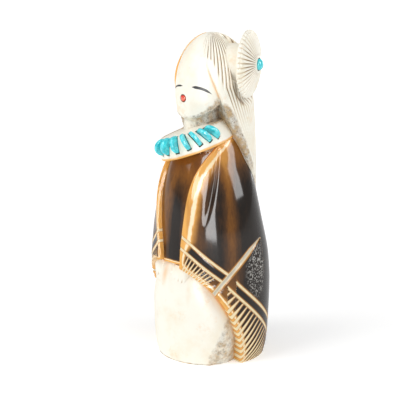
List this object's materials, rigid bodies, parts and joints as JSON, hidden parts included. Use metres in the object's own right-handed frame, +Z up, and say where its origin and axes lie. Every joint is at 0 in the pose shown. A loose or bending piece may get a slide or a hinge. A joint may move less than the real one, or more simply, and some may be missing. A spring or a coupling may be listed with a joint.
{
  "type": "fetish carving",
  "caption": "Small standing figure of a woman carved from antler, with a shawl over a plain skirt, a whorl of hair and an inlaid stone necklace.",
  "frame": {"origin": "centre of the antler's cross-section on the flat underside that the figure stands on", "axes": "+Z up through the head, -Y the way the figure faces, +X to the figure's left, the side with the hair whorl"},
  "size_m": [0.0353, 0.0356, 0.0956],
  "materials": {
    "antler": "carved antler, polished brown rind over cream core",
    "turquoise": "polished turquoise stone",
    "coral": "polished red coral"
  },
  "bodies": {
    "root": {"antler_carving": "antler", "necklace_stone_1": "turquoise", "necklace_stone_2": "turquoise", "necklace_stone_3": "turquoise", "necklace_stone_4": "turquoise", "necklace_stone_5": "turquoise", "necklace_stone_6": "turquoise", "necklace_stone_7": "turquoise", "mouth_coral": "coral", "whorl_cabochon": "turquoise"}
  },
  "joints": []
}
